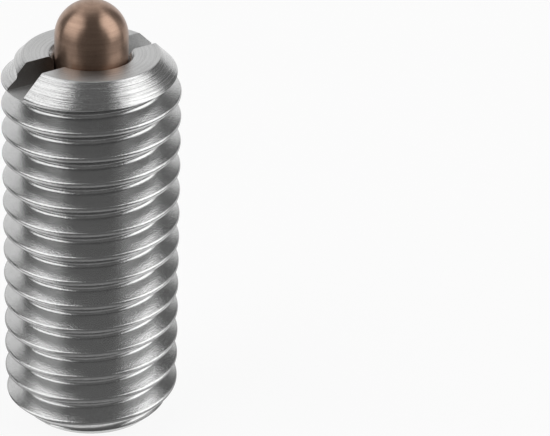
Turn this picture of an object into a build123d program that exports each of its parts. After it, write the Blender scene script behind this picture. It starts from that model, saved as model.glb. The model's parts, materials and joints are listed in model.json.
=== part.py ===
from build123d import *
import os
from math import atan, ceil, cos, degrees, radians, tan

# Spring plunger: a threaded sleeve, a spring-loaded pin that stands out of its nose, the spring,
# and the socket set screw that closes the rear. Millimetres. The rear face lies on the XY plane,
# the axis is Z, the nose points to +Z and the nose slot runs along X.

# Body, outside
body_length = 22.0
thread_diameter = 9.8
thread_pitch = 1.5
thread_start_angle = 78.6
nose_chamfer = 1.18
rear_ring_width = 0.35
slot_width = 1.6
slot_depth = 1.4

# Pin
pin_diameter = 4.0
pin_projection = 3.0
pin_stroke = 3.0
guide_length = 5.0
guide_clearance = 0.05
guide_mouth_chamfer = 0.3
collar_length = 1.8
collar_clearance = 0.08
collar_chamfer = 0.2
tail_end_chamfer = 0.3

# Spring
wire_diameter = 0.6
wire_sides = 6
spring_turns = 5
spring_side_clearance = 0.3
tail_clearance = 0.15
seat_gap = 0.02

# Set screw, M6 with a fine thread that is left plain here, and the tapped stretch that holds it
screw_diameter = 5.9
screw_pitch = 1.0
screw_length = 5.5
screw_recess = 0.7
screw_end_chamfer = 0.35
screw_front_chamfer = 0.6
screw_clearance = 0.05
tapped_runout = 0.8
mouth_countersink = 0.3
hexagon_across_flats = 3.0
hexagon_depth = 2.6
hexagon_mouth_diameter = 4.7
hexagon_mouth_angle = 100.0
hexagon_drill_angle = 118.0

# Outside thread, after ISO metric: crest an eighth of the pitch wide, plain V down to the root
crest_share = 1 / 8
thread_depth_share = 0.6134
thread_runout_turns = 0.25
cutter_overrun = 0.05

# Radii that follow from the sizes above
thread_radius = thread_diameter / 2
pin_radius = pin_diameter / 2
screw_radius = screw_diameter / 2
guide_radius = pin_radius + guide_clearance
tapped_radius = screw_radius + screw_clearance
bore_radius = tapped_radius - screw_pitch / 2
collar_radius = bore_radius - collar_clearance
spring_radius = bore_radius - spring_side_clearance - wire_diameter / 2
tail_radius = spring_radius - wire_diameter / 2 - tail_clearance

# Heights that follow from the sizes above
thread_top_z = body_length - nose_chamfer
shoulder_z = body_length - guide_length
collar_top_z = shoulder_z - seat_gap
collar_bottom_z = collar_top_z - collar_length
screw_front_z = screw_recess + screw_length
tapped_end_z = screw_front_z + tapped_runout
pin_top_z = body_length + pin_projection
tail_end_z = screw_front_z + pin_stroke + 2 * wire_diameter


def screwed_solid(corners, stretches):
    """Solid that an outline of corners leaves as it screws round Z from the XZ plane.

    A corner is (radius, height, lean): its path leans out from Z by that angle, 0 where the radius stays.
    A stretch is (start height, rise of a turn, turns), and begins where the last one ends.
    """
    walls = []
    ends = []
    for start_z, rise, turns in stretches:
        edges = [
            Edge.make_helix(rise / cos(radians(lean)), rise * turns, radius, (0, 0, start_z + z), angle=lean)
            for radius, z, lean in corners
        ]
        walls += [Face.make_surface_from_curves(edges[i - 1], edges[i]) for i in range(len(edges))]
        ends += [Wire.make_polygon([edge @ end for edge in edges], close=True) for end in (0, 1)]
    return Solid(Shell(walls + [Face(ends[0]), Face(ends[-1])]))


def thread_groove():
    """Right-hand V groove round the body, one solid a turn, from under the rear face to the nose chamfer.

    Its middle passes thread_start_angle at height zero. Above its top it runs out, its root rising to the crest.
    """
    depth = thread_pitch * thread_depth_share
    root_radius = thread_radius - depth
    mouth_radius = thread_radius + cutter_overrun
    crest_gap = thread_pitch * (1 - crest_share)
    half_width = crest_gap / 2 * (mouth_radius - root_radius) / depth
    mouth = [(mouth_radius, -half_width, 0), (mouth_radius, half_width, 0)]
    runout_lean = degrees(atan(depth / (thread_pitch * thread_runout_turns)))
    one_turn = screwed_solid([(root_radius, 0, 0), *mouth], [(0, thread_pitch, 1)])
    runout = screwed_solid([(root_radius, 0, runout_lean), *mouth], [(0, thread_pitch, thread_runout_turns)])
    top = Pos(0, 0, thread_top_z) * Rot(0, 0, thread_start_angle + 360 * thread_top_z / thread_pitch)
    turns = range(1, ceil(thread_top_z / thread_pitch) + 2)
    return [top * runout] + [Pos(0, 0, -turn * thread_pitch) * top * one_turn for turn in turns]


def turned(points):
    """Solid of revolution about Z from its half section, given as (radius, height) corners."""
    with BuildPart() as blank:
        with BuildSketch(Plane.XZ):
            with BuildLine():
                Polyline(*points, close=True)
            make_face()
        revolve(axis=Axis.Z)
    return blank.part


def make_body():
    rear_mouth_radius = tapped_radius + mouth_countersink
    rear_ring_radius = rear_mouth_radius + rear_ring_width
    rear_chamfer = thread_radius - rear_ring_radius
    blank = turned(
        [
            (rear_mouth_radius, 0),
            (rear_ring_radius, 0),
            (thread_radius, rear_chamfer),
            (thread_radius, body_length - nose_chamfer),
            (thread_radius - nose_chamfer, body_length),
            (guide_radius + guide_mouth_chamfer, body_length),
            (guide_radius, body_length - guide_mouth_chamfer),
            (guide_radius, shoulder_z),
            (bore_radius, shoulder_z),
            (bore_radius, tapped_end_z),
            (tapped_radius, tapped_end_z),
            (tapped_radius, mouth_countersink),
        ]
    )
    slot = Pos(0, 0, body_length - slot_depth / 2) * Box(thread_diameter, slot_width, slot_depth)
    return Part() + blank.cut(*thread_groove(), slot)


def make_pin():
    dome_z = pin_top_z - pin_radius
    with BuildPart() as pin:
        with BuildSketch(Plane.XZ):
            with BuildLine():
                side = Polyline(
                    (0, pin_top_z),
                    (0, tail_end_z),
                    (tail_radius - tail_end_chamfer, tail_end_z),
                    (tail_radius, tail_end_z + tail_end_chamfer),
                    (tail_radius, collar_bottom_z),
                    (collar_radius - collar_chamfer, collar_bottom_z),
                    (collar_radius, collar_bottom_z + collar_chamfer),
                    (collar_radius, collar_top_z),
                    (pin_radius, collar_top_z),
                    (pin_radius, dome_z),
                )
                RadiusArc(side @ 1, side @ 0, -pin_radius)
            make_face()
        revolve(axis=Axis.Z)
    return pin.part


def make_spring():
    """Coil with a closed turn at each end, whose wire lies on its seat, and open turns between them."""
    wire_radius = wire_diameter / 2
    bottom = screw_front_z + seat_gap + wire_radius
    top = collar_bottom_z - seat_gap - wire_radius
    closed_rise = wire_diameter + seat_gap
    open_turns = spring_turns - 2
    open_rise = (top - bottom - 2 * closed_rise) / open_turns
    outline = RegularPolygon(wire_radius, wire_sides, rotation=180 / wire_sides).vertices()
    corners = [(spring_radius + corner.X, corner.Y, 0) for corner in outline]
    stretches = [
        (bottom, closed_rise, 1),
        (bottom + closed_rise, open_rise, open_turns),
        (top - closed_rise, closed_rise, 1),
    ]
    return screwed_solid(corners, stretches)


def make_set_screw():
    mouth_radius = hexagon_mouth_diameter / 2
    socket_radius = hexagon_across_flats / 2
    mouth_depth = mouth_radius / tan(radians(hexagon_mouth_angle / 2))
    drill_depth = socket_radius / tan(radians(hexagon_drill_angle / 2))
    socket_end_z = screw_recess + hexagon_depth
    blank = turned(
        [
            (0, screw_recess),
            (screw_radius - screw_end_chamfer, screw_recess),
            (screw_radius, screw_recess + screw_end_chamfer),
            (screw_radius, screw_front_z - screw_front_chamfer),
            (screw_radius - screw_front_chamfer, screw_front_z),
            (0, screw_front_z),
        ]
    )
    hexagon = RegularPolygon(socket_radius, 6, major_radius=False)
    socket = Pos(0, 0, screw_recess) * extrude(hexagon, hexagon_depth)
    mouth = Pos(0, 0, screw_recess + mouth_depth / 2) * Cone(mouth_radius, 0, mouth_depth)
    drill_end = Pos(0, 0, socket_end_z + drill_depth / 2) * Cone(socket_radius, 0, drill_depth)
    return Part() + blank.cut(socket, mouth, drill_end)


nodes = {
    "body": make_body(),
    "thrust_pin": make_pin(),
    "spring": make_spring(),
    "set_screw": make_set_screw(),
}

os.makedirs("parts", exist_ok=True)
for name, shape in nodes.items():
    export_step(shape, f"parts/{name}.step")
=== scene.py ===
import json
from math import atan2, ceil, cos, floor, hypot, pi, radians, sin, tan
import bmesh
import bpy
from mathutils import Matrix, Vector

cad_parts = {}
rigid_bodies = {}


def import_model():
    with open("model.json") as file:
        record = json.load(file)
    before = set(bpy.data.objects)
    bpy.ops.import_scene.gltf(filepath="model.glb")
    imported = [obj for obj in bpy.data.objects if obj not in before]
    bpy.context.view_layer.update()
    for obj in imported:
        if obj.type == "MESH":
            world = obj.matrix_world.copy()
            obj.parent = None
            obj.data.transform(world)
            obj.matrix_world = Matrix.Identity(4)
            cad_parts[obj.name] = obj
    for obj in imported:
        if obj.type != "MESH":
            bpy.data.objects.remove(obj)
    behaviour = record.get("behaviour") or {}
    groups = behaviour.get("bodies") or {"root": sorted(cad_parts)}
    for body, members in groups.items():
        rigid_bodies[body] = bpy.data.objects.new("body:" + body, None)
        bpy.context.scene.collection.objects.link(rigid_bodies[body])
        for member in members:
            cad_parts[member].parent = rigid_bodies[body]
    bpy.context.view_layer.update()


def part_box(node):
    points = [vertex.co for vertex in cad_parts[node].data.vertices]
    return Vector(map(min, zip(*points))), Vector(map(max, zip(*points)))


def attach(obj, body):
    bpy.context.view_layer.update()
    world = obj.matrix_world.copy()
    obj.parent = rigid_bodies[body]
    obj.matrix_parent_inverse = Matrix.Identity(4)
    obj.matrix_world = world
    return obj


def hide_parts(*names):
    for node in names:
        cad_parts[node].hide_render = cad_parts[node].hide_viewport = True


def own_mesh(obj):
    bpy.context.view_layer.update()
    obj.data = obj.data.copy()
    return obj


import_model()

mm = 0.001
print("spring plunger: frame loaded")


class Level:    # the value that one socket carries
    def __init__(self, socket):
        self.socket = socket

    def combine(self, operation, first, second):
        tree = self.socket.id_data
        return Finish(tree).node("ShaderNodeMath", {"operation": operation}, {0: first, 1: second}).out(0)

    def __add__(self, other):
        return self.combine("ADD", self, other)

    def __sub__(self, other):
        return self.combine("SUBTRACT", self, other)

    def __mul__(self, other):
        return self.combine("MULTIPLY", self, other)

    def __truediv__(self, other):
        return self.combine("DIVIDE", self, other)

    def __pow__(self, other):
        return self.combine("POWER", self, other)

    def __radd__(self, other):
        return self.combine("ADD", other, self)

    def __rsub__(self, other):
        return self.combine("SUBTRACT", other, self)

    def __rmul__(self, other):
        return self.combine("MULTIPLY", other, self)


class Placed:    # a node that has been put in a tree
    def __init__(self, made):
        self.made = made

    def out(self, name):
        return Level(self.made.outputs[name])


class Finish:    # one material's or world's node tree
    def __init__(self, tree):
        self.tree = tree

    def node(self, kind, settings, inputs):
        made = self.tree.nodes.new(kind)
        for name, value in settings.items():
            setattr(made, name, value)
        for name, value in inputs.items():
            if isinstance(value, Level):
                self.tree.links.new(value.socket, made.inputs[name])
            else:
                made.inputs[name].default_value = value
        return Placed(made)


def startFinish(name):
    material = bpy.data.materials.new(name)
    material.use_nodes = True
    material.node_tree.nodes.clear()
    return material, Finish(material.node_tree)


def grey(level):
    return (level, level, level, 1)


# the same work all over the piece: as many rings as grain, no dulling, no painted shade and nothing rougher
def plainWork(finish, x, y, z):
    return 0.5, 0.0, 0.0


# steel and bronze as a lathe leaves them: fine rings, grain and faint stains; work says where there are more
# rings than grain, where a cutter has left the metal duller or rougher, and where shade is painted on
def turnedMetal(name, look, work=plainWork):
    material, finish = startFinish(name)
    place = finish.node("ShaderNodeTexCoord", {}, {}).out("Object")
    axes = finish.node("ShaderNodeSeparateXYZ", {}, {0: place})
    x, y, z = axes.out("X"), axes.out("Y"), axes.out("Z")
    ringShare, dullingAndPaintedShade, rougher = work(finish, x, y, z)
    radius = (x * x + y * y) ** 0.5
    alongRing = finish.node("ShaderNodeCombineXYZ", {}, {
        "X": radius * look["ringScale"], "Y": z * look["ringScale"] * look["ringLift"],
        "Z": (x - y) * look["ringBreak"]}).out(0)
    rings = finish.node("ShaderNodeTexNoise", {}, {
        "Vector": alongRing, "Scale": 1.0, "Detail": 3.0, "Roughness": 0.65}).out(0)
    stain = finish.node("ShaderNodeTexNoise", {}, {
        "Vector": place, "Scale": look["stainScale"], "Detail": 4.0, "Roughness": 0.6}).out(0)
    grain = finish.node("ShaderNodeTexNoise", {}, {
        "Vector": place, "Scale": look["grainScale"], "Detail": 2.0, "Roughness": 0.7}).out(0)
    cut = (rings - 0.5) * ringShare
    clean = finish.node("ShaderNodeMix", {"data_type": "RGBA"}, {
        "Factor": stain * look["stainShare"] + cut * look["ringShade"] + (grain - 0.5) * look["grainShade"],
        6: (*look["colour"], 1), 7: (*look["stainColour"], 1)}).out(2)
    # the dark colour mixed in here is a little dulling on turned ends and painted shade on the slot wall
    tone = finish.node("ShaderNodeMix", {"data_type": "RGBA"}, {
        "Factor": dullingAndPaintedShade, 6: clean, 7: (*look["dullingAndPaintedShadeColour"], 1)}).out(2)
    rough = look["roughness"] + cut * look["ringRoughness"] + (stain - 0.5) * look["stainRoughness"] + rougher
    bump = finish.node("ShaderNodeBump", {}, {
        "Strength": look["bump"], "Distance": look["bumpDepth"],
        "Height": cut * look["ringDepth"] + grain * (1 - ringShare) * look["grainDepth"]}).out("Normal")
    shader = finish.node("ShaderNodeBsdfPrincipled", {}, {
        "Base Color": tone, "Metallic": 1.0, "Roughness": rough, "Normal": bump,
        "Anisotropic": look["ringStretch"], "Anisotropic Rotation": 0.25}).out("BSDF")
    finish.node("ShaderNodeOutputMaterial", {}, {"Surface": shader})
    return material


def newPiece(name, bm, body, material):
    bmesh.ops.recalc_face_normals(bm, faces=bm.faces)
    mesh = bpy.data.meshes.new(name)
    bm.to_mesh(mesh)
    bm.free()
    mesh.materials.append(material)
    piece = bpy.data.objects.new(name, mesh)
    bpy.context.scene.collection.objects.link(piece)
    if body:
        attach(piece, body)
    return piece


def smoothBy(piece, angle):
    piece.data.shade_smooth()
    piece.data.set_sharp_from_angle(angle=radians(angle))


# outline of (radius, height, rounding) corners; each corner that has a rounding is bevelled
def outlineEdges(bm, corners, closed):
    points = [bm.verts.new((radius, 0, height)) for radius, height, rounding in corners]
    pairs = list(zip(points, points[1:]))
    if closed:
        pairs.append((points[-1], points[0]))
    for first, second in pairs:
        bm.edges.new((first, second))
    for point, (radius, height, rounding) in zip(points, corners):
        if rounding:
            bmesh.ops.bevel(bm, geom=[point], offset=rounding, offset_type="OFFSET", segments=4,
                            profile=0.5, affect="VERTICES", material=-1)
    return bm.edges[:]


def lathe(corners, steps, closed=True):
    bm = bmesh.new()
    edges = outlineEdges(bm, corners, closed)
    bmesh.ops.spin(bm, geom=edges + bm.verts[:], cent=(0, 0, 0), axis=(0, 0, 1), dvec=(0, 0, 0),
                   angle=2 * pi, steps=steps, use_merge=True)
    bmesh.ops.remove_doubles(bm, verts=bm.verts, dist=0.0001 * mm)
    bmesh.ops.recalc_face_normals(bm, faces=bm.faces)
    return bm


# bar with a right-hand thread from low to high, both ends cut square; the groove is at startAngle at height 0
def threadedBar(corners, pitch, startAngle, low, high, steps):
    bm = bmesh.new()
    edges = outlineEdges(bm, corners, False)
    start = Matrix.Rotation(radians(startAngle), 3, "Z")
    bmesh.ops.rotate(bm, verts=bm.verts, cent=(0, 0, 0), matrix=start)
    bmesh.ops.spin(bm, geom=edges + bm.verts[:], cent=(0, 0, 0), axis=(0, 0, 1),
                   dvec=(0, 0, pitch / steps), angle=2 * pi, steps=steps)
    oneTurn = bm.verts[:] + bm.edges[:] + bm.faces[:]
    firstTurn, lastTurn = floor(low / pitch) - 2, ceil(high / pitch) + 1
    for turn in range(firstTurn + 1, lastTurn):
        copied = bmesh.ops.duplicate(bm, geom=oneTurn)["geom"]
        bmesh.ops.translate(bm, verts=[item for item in copied if isinstance(item, bmesh.types.BMVert)],
                            vec=(0, 0, (turn - firstTurn) * pitch))
    bmesh.ops.translate(bm, verts=bm.verts, vec=(0, 0, firstTurn * pitch))
    bmesh.ops.remove_doubles(bm, verts=bm.verts, dist=0.0005 * mm)
    for height, way in ((low, -1), (high, 1)):
        bmesh.ops.bisect_plane(bm, geom=bm.verts[:] + bm.edges[:] + bm.faces[:], plane_co=(0, 0, height),
                               plane_no=(0, 0, way), clear_outer=True)
    rims = [edge for edge in bm.edges if edge.is_boundary]
    bmesh.ops.edgenet_fill(bm, edges=rims)
    bmesh.ops.recalc_face_normals(bm, faces=bm.faces)
    return bm


# the groove gets shallower and ends where its middle rises from one height to the other
def runOut(bm, crestRadius, pitch, startAngle, fromHeight, toHeight):
    for point in bm.verts:
        x, y, z = point.co
        radius = hypot(x, y)
        if radius > 0.3 * crestRadius:
            turns = z / pitch - (atan2(y, x) - radians(startAngle)) / (2 * pi)
            middle = z - (turns - round(turns)) * pitch
            share = min(max((middle - fromHeight) / (toHeight - fromHeight), 0), 1)
            share = share * share * (3 - 2 * share)
            grown = (radius + (crestRadius - radius) * share) / radius
            point.co = (x * grown, y * grown, z)


# one pitch of a thread from root to root, seen in half section
def threadCorners(crestRadius, depth, pitch, crestWidth, rootWidth, crestRound, rootRound):
    rootRadius = crestRadius - depth
    return [
        (rootRadius, 0, 0),
        (rootRadius, rootWidth / 2, rootRound),
        (crestRadius, pitch / 2 - crestWidth / 2, crestRound),
        (crestRadius, pitch / 2 + crestWidth / 2, crestRound),
        (rootRadius, pitch - rootWidth / 2, rootRound),
        (rootRadius, pitch, 0),
    ]


def carve(piece, bm, operation):
    tool = newPiece("carvingTool", bm, None, piece.data.materials[0])
    change = piece.modifiers.new("carve", "BOOLEAN")
    change.operation = operation
    change.solver = "MANIFOLD"
    change.object = tool
    graph = bpy.context.evaluated_depsgraph_get()
    carved = bpy.data.meshes.new_from_object(piece.evaluated_get(graph))
    piece.modifiers.remove(change)
    old = piece.data
    piece.data = carved
    bpy.data.meshes.remove(old)
    bpy.data.objects.remove(tool)


bodyLow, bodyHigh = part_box("body")
pinLow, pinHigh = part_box("thrust_pin")
screwLow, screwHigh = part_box("set_screw")
springLow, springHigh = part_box("spring")

bodyMake = {
    "radius": (bodyHigh[0] - bodyLow[0]) / 2,
    "pitch": 1.5 * mm,
    "startAngle": 78.6,
    "depth": 0.92 * mm,
    "crestWidth": 0.22 * mm,
    "rootWidth": 0.34 * mm,
    "crestRound": 0.09 * mm,
    "rootRound": 0.15 * mm,
    "steps": 96,
    "noseChamfer": 1.18 * mm,
    "runOutStart": 0.75 * mm,
    "runOutEnd": 0.42 * mm,
    "rearChamfer": 1.25 * mm,
    "rearMouth": 3.5 * mm,
    "edgeRound": 0.06 * mm,
    "guideRadius": 2.05 * mm,
    "guideChamfer": 0.3 * mm,
    "guideLength": 5.0 * mm,
    "boreRadius": 2.5 * mm,
    "slotWidth": 1.6 * mm,
    "slotDepth": 1.4 * mm,
    "tapRadius": 3.0 * mm,
    "tapPitch": 1.0 * mm,
    "tapStartAngle": 220,
    "tapThreadDepth": 0.6 * mm,
    "tapCrestWidth": 0.13 * mm,
    "tapRootWidth": 0.2 * mm,
    "tapRound": 0.03 * mm,
    "tapSteps": 64,
    "tapDepth": 7.0 * mm,
    "spare": 0.3 * mm,
    "smoothAngle": 28,
    # the last colour darkens the turned ends a little and is the painted shade on one slot wall
    "colour": (0.6, 0.602, 0.6), "stainColour": (0.42, 0.421, 0.42), "dullingAndPaintedShadeColour": (0.13, 0.112, 0.1),
    "stainScale": 900, "stainShare": 0.5, "stainRoughness": 0.12,
    "ringScale": 15000, "ringLift": 0.2, "ringBreak": 130, "ringShade": 2.4, "ringRoughness": 0.35,
    "ringDepth": 2.2, "ringStretch": 0.3,
    "grainScale": 13000, "grainShade": 2.0, "grainDepth": 1.1,
    "roughness": 0.15, "bump": 0.6, "bumpDepth": 0.02 * mm,
    "threadRings": 0.15, "endRings": 0.85,
    # the wall's share that grows towards one end is painted shade, standing in for the dark the wall mirrors
    "endsDulled": 0.05, "wallDulled": 0.05, "wallEndPaintedShade": 0.55, "wallEnd": 1.5 * mm,
    "endsRougher": 0.06, "flatRougher": 0.12, "slotRougher": 0.55, "wallSmoother": 0.3,
}


# a share from 0 to 1 that rises as a level passes from one value to another
def rise(finish, level, start, end):
    return finish.node("ShaderNodeMapRange", {"interpolation_type": "SMOOTHSTEP"}, {
        "Value": level, "From Min": start, "From Max": end, "To Min": 0.0, "To Max": 1.0}).out(0)


# the thread is cut fine and has hardly any rings, the chamfers and end faces are turned, the slot is milled
# and has slightly dull walls with painted shade on them, darkest towards one end
def bodyWork(finish, x, y, z):
    size, top = bodyMake, bodyHigh[2]
    half, slotFloor = size["slotWidth"] / 2, top - size["slotDepth"]
    noseEdge, rearEdge = top - size["noseChamfer"], bodyLow[2] + size["rearChamfer"]
    blend, hair = 0.05 * mm, 0.02 * mm
    onNose = rise(finish, z, noseEdge - blend, noseEdge + blend)
    onRear = rise(finish, z, rearEdge + blend, rearEdge - blend)
    between = rise(finish, y * y, (half + hair) ** 2, half ** 2)
    inSlot = between * rise(finish, z, slotFloor - 3 * hair, slotFloor - 1.5 * hair)
    onWall = inSlot * rise(finish, z, slotFloor + hair, slotFloor + 3 * hair)
    onFlat = rise(finish, z, top - blend, top - hair)
    onEnds = (onNose + onRear) * (1 - inSlot)
    # painted shade: the slot wall gets darker towards the -x end
    paintedShadeTowardsEnd = rise(finish, x, size["wallEnd"], -size["wallEnd"])
    dullingAndPaintedShade = onWall * (size["wallDulled"] + size["wallEndPaintedShade"] * paintedShadeTowardsEnd) + onEnds * size["endsDulled"]
    rougher = (inSlot * size["slotRougher"] - onWall * size["wallSmoother"] + onEnds * size["endsRougher"]
               + onFlat * size["flatRougher"])
    return onEnds * size["endRings"] + size["threadRings"], dullingAndPaintedShade, rougher


def makeBody():
    size = bodyMake
    radius, low, high = size["radius"], bodyLow[2], bodyHigh[2]
    edge, spare = size["edgeRound"], size["spare"]
    corners = threadCorners(radius, size["depth"], size["pitch"], size["crestWidth"], size["rootWidth"],
                            size["crestRound"], size["rootRound"])
    bar = threadedBar(corners, size["pitch"], size["startAngle"], low - mm, high + mm, size["steps"])
    runOutLow, runOutHigh = high - size["runOutStart"], high - size["runOutEnd"]
    runOut(bar, radius, size["pitch"], size["startAngle"], runOutLow, runOutHigh)
    steel = turnedMetal("bodySteel", size, bodyWork)
    piece = newPiece("threadedBody", bar, "sleeve", steel)
    outside = radius + spare
    shoulder = high - size["guideLength"]
    outline = [
        (size["rearMouth"], low, edge),
        (radius - size["rearChamfer"], low, edge),
        (outside, low + size["rearChamfer"] + spare, 0),
        (outside, high - size["noseChamfer"] - spare, 0),
        (radius - size["noseChamfer"], high, edge),
        (size["guideRadius"] + size["guideChamfer"], high, edge),
        (size["guideRadius"], high - size["guideChamfer"], edge),
        (size["guideRadius"], shoulder, 0),
        (size["boreRadius"], shoulder, 0),
        (size["boreRadius"], low + size["rearMouth"] - size["boreRadius"], 0),
    ]
    carve(piece, lathe(outline, 2 * size["steps"]), "INTERSECT")
    tapCorners = threadCorners(
        size["tapRadius"], size["tapThreadDepth"], size["tapPitch"], size["tapCrestWidth"],
        size["tapRootWidth"], size["tapRound"], size["tapRound"])
    tap = threadedBar(tapCorners, size["tapPitch"], size["tapStartAngle"], low - mm, low + size["tapDepth"],
                      size["tapSteps"])
    carve(piece, tap, "DIFFERENCE")
    slot = bmesh.new()
    bmesh.ops.create_cube(slot, size=1)
    bmesh.ops.scale(slot, verts=slot.verts, vec=(3 * radius, size["slotWidth"], 2 * size["slotDepth"]))
    bmesh.ops.translate(slot, verts=slot.verts, vec=(0, 0, high))
    carve(piece, slot, "DIFFERENCE")
    smoothBy(piece, size["smoothAngle"])
    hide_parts("body")
    print("threaded body:", len(piece.data.polygons), "faces")


makeBody()


pinMake = {
    "radius": 2.0 * mm,
    "domeRings": 20,
    "collarLength": 1.8 * mm,
    "collarTop": 5.02 * mm,
    "collarRadius": (pinHigh[0] - pinLow[0]) / 2,
    "collarChamfer": 0.2 * mm,
    "tailRadius": 1.45 * mm,
    "tailChamfer": 0.3 * mm,
    "steps": 128,
    "smoothAngle": 28,
    "colour": (0.43, 0.295, 0.222), "stainColour": (0.235, 0.155, 0.116), "dullingAndPaintedShadeColour": (0.2, 0.2, 0.2),
    "stainScale": 700, "stainShare": 0.6, "stainRoughness": 0.08,
    "ringScale": 7000, "ringLift": 1.0, "ringBreak": 300, "ringShade": 1.6, "ringRoughness": 0.2,
    "ringDepth": 1.6, "ringStretch": 0.75,
    "grainScale": 12000, "grainShade": 0.6, "grainDepth": 0.5,
    "roughness": 0.33, "bump": 0.4, "bumpDepth": 0.015 * mm,
}


def makePin():
    size = pinMake
    radius, top = size["radius"], pinHigh[2]
    collarTop = bodyHigh[2] - size["collarTop"]
    collarBottom = collarTop - size["collarLength"]
    angles = [pi / 2 * ring / size["domeRings"] for ring in range(size["domeRings"] + 1)]
    dome = [(radius * cos(angle), top - radius + radius * sin(angle), 0) for angle in angles]
    corners = [
        (0, pinLow[2], 0),
        (size["tailRadius"] - size["tailChamfer"], pinLow[2], 0),
        (size["tailRadius"], pinLow[2] + size["tailChamfer"], 0),
        (size["tailRadius"], collarBottom, 0),
        (size["collarRadius"] - size["collarChamfer"], collarBottom, 0),
        (size["collarRadius"], collarBottom + size["collarChamfer"], 0),
        (size["collarRadius"], collarTop, 0),
        (radius, collarTop, 0),
    ] + dome
    bronze = turnedMetal("pinBronze", size)
    piece = newPiece("thrustPin", lathe(corners, size["steps"], closed=False), "pin", bronze)
    smoothBy(piece, size["smoothAngle"])
    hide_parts("thrust_pin")
    print("pin:", len(piece.data.polygons), "faces")


makePin()


screwMake = {
    "radius": (screwHigh[0] - screwLow[0]) / 2,
    "pitch": 1.0 * mm,
    "startAngle": 220,
    "depth": 0.55 * mm,
    "crestWidth": 0.15 * mm,
    "rootWidth": 0.2 * mm,
    "crestRound": 0.03 * mm,
    "rootRound": 0.04 * mm,
    "rearChamfer": 0.35 * mm,
    "edgeRound": 0.03 * mm,
    "frontChamfer": 0.6 * mm,
    "hexagon": 3.0 * mm,
    "hexagonDepth": 2.6 * mm,
    "mouthRadius": 2.35 * mm,
    "mouthAngle": 100,
    "drillRadius": 1.485 * mm,
    "drillAngle": 118,
    "steps": 72,
    "spare": 0.2 * mm,
    "smoothAngle": 28,
    "colour": (0.5, 0.49, 0.47), "stainColour": (0.36, 0.35, 0.33), "dullingAndPaintedShadeColour": (0.2, 0.2, 0.2),
    "stainScale": 1100, "stainShare": 0.5, "stainRoughness": 0.12,
    "ringScale": 8000, "ringLift": 0.4, "ringBreak": 300, "ringShade": 0.6, "ringRoughness": 0.2,
    "ringDepth": 0.6, "ringStretch": 0.3,
    "grainScale": 11000, "grainShade": 1.2, "grainDepth": 0.7,
    "roughness": 0.3, "bump": 0.5, "bumpDepth": 0.02 * mm,
}


# cuts a turned hole, given by its half section
def bore(piece, outline, size):
    carve(piece, lathe(outline, 2 * size["steps"], closed=False), "DIFFERENCE")


def makeSetScrew():
    size = screwMake
    radius, low, high, spare = size["radius"], screwLow[2], screwHigh[2], size["spare"]
    corners = threadCorners(radius, size["depth"], size["pitch"], size["crestWidth"], size["rootWidth"],
                            size["crestRound"], size["rootRound"])
    bar = threadedBar(corners, size["pitch"], size["startAngle"], low - mm, high + mm, size["steps"])
    steel = turnedMetal("screwSteel", size)
    piece = newPiece("setScrew", bar, "sleeve", steel)
    outside = radius + spare
    outline = [
        (0, low, 0),
        (radius - size["rearChamfer"], low, size["edgeRound"]),
        (outside, low + size["rearChamfer"] + spare, 0),
        (outside, high - size["frontChamfer"] - spare, 0),
        (radius - size["frontChamfer"], high, 0),
        (0, high, 0),
    ]
    carve(piece, lathe(outline, 2 * size["steps"], closed=False), "INTERSECT")
    slope = tan(radians(size["mouthAngle"] / 2))
    bore(piece, [
        (0, low - spare, 0),
        (size["mouthRadius"] + spare * slope, low - spare, 0),
        (0, low + size["mouthRadius"] / slope, 0),
    ], size)
    socket = bmesh.new()
    corner = size["hexagon"] / 2 / cos(pi / 6)
    bmesh.ops.create_cone(socket, cap_ends=True, segments=6, radius1=corner, radius2=corner,
                          depth=size["hexagonDepth"] + spare)
    bmesh.ops.translate(socket, verts=socket.verts, vec=(0, 0, low + (size["hexagonDepth"] - spare) / 2))
    carve(piece, socket, "DIFFERENCE")
    bottom = low + size["hexagonDepth"]
    bore(piece, [
        (0, bottom - spare, 0),
        (size["drillRadius"], bottom - spare, 0),
        (size["drillRadius"], bottom, 0),
        (0, bottom + size["hexagon"] / 2 / tan(radians(size["drillAngle"] / 2)), 0),
    ], size)
    smoothBy(piece, size["smoothAngle"])
    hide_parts("set_screw")
    print("set screw:", len(piece.data.polygons), "faces")


makeSetScrew()


springMake = {
    "wireRadius": 0.3 * mm,
    "coilRadius": 1.9 * mm,
    "turns": 5,
    "closedRise": 0.615 * mm,
    "wireSides": 16,
    "steps": 48,
    "travel": 3.0 * mm,
    "smoothAngle": 40,
    "colour": (0.48, 0.47, 0.45), "stainColour": (0.34, 0.33, 0.31), "dullingAndPaintedShadeColour": (0.2, 0.2, 0.2),
    "stainScale": 1500, "stainShare": 0.5, "stainRoughness": 0.12,
    "ringScale": 9000, "ringLift": 0.1, "ringBreak": 300, "ringShade": 0.2, "ringRoughness": 0.05,
    "ringDepth": 0.3, "ringStretch": 0.0,
    "grainScale": 12000, "grainShade": 0.8, "grainDepth": 0.5,
    "roughness": 0.28, "bump": 0.4, "bumpDepth": 0.015 * mm,
}


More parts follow.
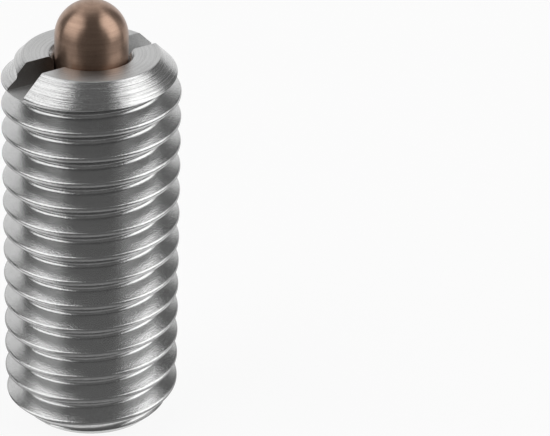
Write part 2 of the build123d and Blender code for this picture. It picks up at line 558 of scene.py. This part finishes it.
def makeSpring():
    size = springMake
    wire = size["wireRadius"]
    low, high = springLow[2] + wire, springHigh[2] - wire
    openTurns = size["turns"] - 2
    openRise = (high - low - 2 * size["closedRise"]) / openTurns
    bm = bmesh.new()
    ring = bmesh.ops.create_circle(bm, cap_ends=True, radius=wire, segments=size["wireSides"])["verts"]
    bmesh.ops.rotate(bm, verts=ring, cent=(0, 0, 0), matrix=Matrix.Rotation(pi / 2, 3, "X"))
    bmesh.ops.translate(bm, verts=ring, vec=(size["coilRadius"], 0, low))
    geometry = bm.verts[:] + bm.edges[:] + bm.faces[:]
    for coilRise, turns in ((size["closedRise"], 1), (openRise, openTurns), (size["closedRise"], 1)):
        geometry = bmesh.ops.spin(
            bm, geom=geometry, cent=(0, 0, 0), axis=(0, 0, 1), dvec=(0, 0, coilRise / size["steps"]),
            angle=2 * pi * turns, steps=size["steps"] * turns)["geom_last"]
    wireSteel = turnedMetal("springSteel", size)
    piece = newPiece("coilSpring", bm, "sleeve", wireSteel)
    smoothBy(piece, size["smoothAngle"])
    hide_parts("spring")
    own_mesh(piece)
    print("spring:", len(piece.data.polygons), "faces")


makeSpring()


# panels: azimuth, elevation, half width, half height, softness, level
# cards: azimuth, half width, inner and outer radius, level
studio = {
    "target": (0, 0, 11 * mm),
    "distance": 149.83 * mm,
    "azimuth": -33.0,
    "elevation": 28.27,
    "aimRight": 10.28 * mm,
    "aimUp": 0.79 * mm,
    "lens": 175.07,
    "sensor": 36,
    "near": 0.01,
    "far": 10,
    "floorSize": 2.0,
    "floorColour": 0.86,
    "floorWhite": 0.9,
    "frontGrey": 0.16,
    "panels": (
        (186, 0, 0.81, 6.0, 0.08, 0.74),
        (-76, 36, 0.53, 0.55, 0.06, 1.46),
        (81, 33, 0.42, 0.58, 0.06, 1.8),
        (112, 8, 0.18, 0.2, 0.1, 0.4),
    ),
    "cardHeight": 0.02 * mm,
    "cards": {
        "frontCard": (0, 44, 5.4 * mm, 60 * mm, 0.3),
        # the two foot cards are painted shadow: a darker floor round the part's foot, seen only in the metal
        "leftFootPaintedShadowCard": (-78, 34, 5.4 * mm, 12 * mm, 0.45),
        "rightFootPaintedShadowCard": (78, 34, 5.4 * mm, 12 * mm, 0.45),
        "backCard": (180, 68, 5.4 * mm, 60 * mm, 0.5),
        "rimCard": (0, 115, 60 * mm, 0.9, 0.1),
    },
}


# way from the part towards a place that many degrees to the right of the camera and above the floor
def towards(azimuth, elevation):
    turn, lift = radians(studio["azimuth"] + azimuth), radians(elevation)
    return Vector((sin(turn) * cos(lift), -cos(turn) * cos(lift), sin(lift)))


def setCamera():
    away = towards(0, studio["elevation"])
    target = Vector(studio["target"])
    place = target + away * studio["distance"]
    right = Vector((0, 0, 1)).cross(away).normalized()
    up = away.cross(right)
    aim = target + right * studio["aimRight"] + up * studio["aimUp"]
    data = bpy.data.cameras.new("studioCamera")
    data.lens = studio["lens"]
    data.sensor_width = studio["sensor"]
    data.clip_start = studio["near"]
    data.clip_end = studio["far"]
    camera = bpy.data.objects.new("studioCamera", data)
    forward = (aim - place).normalized()
    side = forward.cross(up).normalized()
    camera.location = place
    camera.rotation_euler = Matrix((side, side.cross(forward), -forward)).transposed().to_euler()
    bpy.context.scene.collection.objects.link(camera)
    bpy.context.scene.camera = camera


def stagePiece(name, bm, material):
    piece = newPiece(name, bm, None, material)
    return piece


def setFloor():
    bm = bmesh.new()
    bmesh.ops.create_grid(bm, x_segments=1, y_segments=1, size=studio["floorSize"] / 2)
    material, finish = startFinish("floorPaint")
    path = finish.node("ShaderNodeLightPath", {}, {})
    seen = path.out("Is Camera Ray") + path.out("Is Glossy Ray") + path.out("Is Transmission Ray")
    paint = finish.node("ShaderNodeBsdfDiffuse", {}, {"Color": grey(studio["floorColour"])}).out(0)
    white = finish.node("ShaderNodeEmission", {}, {"Color": grey(1), "Strength": 1.0}).out(0)
    mixed = finish.node("ShaderNodeMixShader", {}, {
        0: seen * studio["floorWhite"], 1: paint, 2: white}).out(0)
    finish.node("ShaderNodeOutputMaterial", {}, {"Surface": mixed})
    stagePiece("floor", bm, material)


# darker card flat on the floor, out of the camera's sight: only the metal mirrors it
def floorCard(name, azimuth, halfWidth, inner, outer, level):
    bm = bmesh.new()
    turn = Matrix.Rotation(radians(studio["azimuth"] + azimuth - halfWidth - 90), 3, "Z")
    ends = [bm.verts.new(turn @ Vector((radius, 0, studio["cardHeight"]))) for radius in (inner, outer)]
    edge = bm.edges.new(ends)
    bmesh.ops.spin(bm, geom=[edge], cent=(0, 0, 0), axis=(0, 0, 1), dvec=(0, 0, 0),
                   angle=radians(2 * halfWidth), steps=24)
    material, finish = startFinish(name)
    glow = finish.node("ShaderNodeEmission", {}, {"Color": grey(level), "Strength": 1.0}).out(0)
    finish.node("ShaderNodeOutputMaterial", {}, {"Surface": glow})
    card = stagePiece(name, bm, material)
    card.visible_camera = False
    card.visible_diffuse = False
    card.visible_shadow = False


# room with a broad soft panel on each side, nearly dark on the camera's side and pale behind the part
def setWorld():
    world = bpy.data.worlds.new("studioRoom")
    world.use_nodes = True
    world.node_tree.nodes.clear()
    bpy.context.scene.world = world
    finish = Finish(world.node_tree)
    way = finish.node("ShaderNodeTexCoord", {}, {}).out("Generated")

    def along(direction):
        return finish.node("ShaderNodeVectorMath", {"operation": "DOT_PRODUCT"}, {
            0: way, 1: direction}).out("Value")

    def window(across, halfSize, softness):
        return rise(finish, across * across, (halfSize + softness) ** 2, (halfSize - softness) ** 2)

    def panel(azimuth, elevation, halfWidth, halfHeight, softness, level):
        centre = towards(azimuth, elevation)
        side = towards(azimuth + 90, 0)
        ahead = along(centre)
        lit = rise(finish, ahead, 0.05, 0.15) * level
        wide = window(along(side) / ahead, halfWidth, softness)
        high = window(along(centre.cross(side)) / ahead, halfHeight, softness)
        return lit * wide * high

    light = studio["frontGrey"]
    for values in studio["panels"]:
        light = light + panel(*values)
    light = finish.node("ShaderNodeBackground", {}, {"Color": grey(1), "Strength": light}).out(0)
    finish.node("ShaderNodeOutputWorld", {}, {"Surface": light})


setCamera()
setFloor()
setWorld()
for name, values in studio["cards"].items():
    floorCard(name, *values)
print("floor, light and camera set")

bpy.context.scene.view_settings.view_transform = "Standard"
